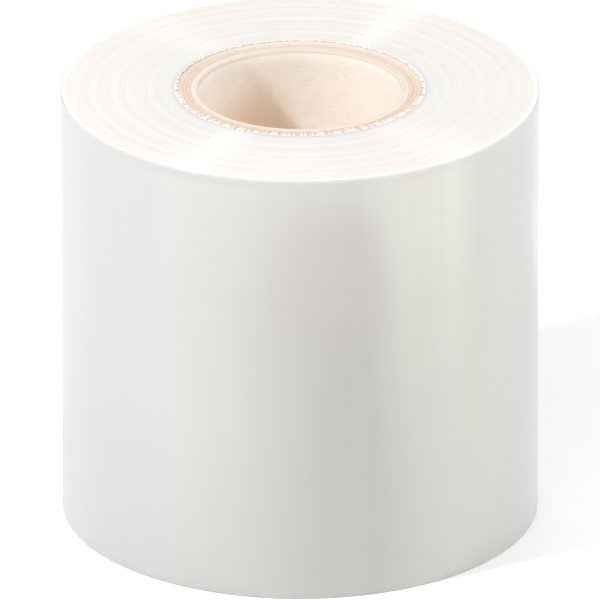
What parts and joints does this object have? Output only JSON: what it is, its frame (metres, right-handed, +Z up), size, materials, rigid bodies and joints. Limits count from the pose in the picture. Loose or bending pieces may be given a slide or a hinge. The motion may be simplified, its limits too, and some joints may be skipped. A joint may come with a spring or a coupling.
{
  "type": "roll of sealing film",
  "caption": "Roll of clear sealing film wound on a spiral cardboard tube, standing on its end; the tube's bore takes a machine shaft.",
  "frame": {"origin": "centre of the lower end of the roll, on the surface that it stands on", "axes": "+Z up along the roll's axis; +X to the right and -Y towards the camera in the picture"},
  "size_m": [0.18, 0.1799, 0.1703],
  "materials": {
    "clear_film": "many turns of clear glossy film, milky where they lie together",
    "core_board": "pale unbleached cardboard, matt, with cut plies at its ends"
  },
  "bodies": {
    "root": {"film_roll": "clear_film", "core_tube": "core_board"}
  },
  "joints": []
}
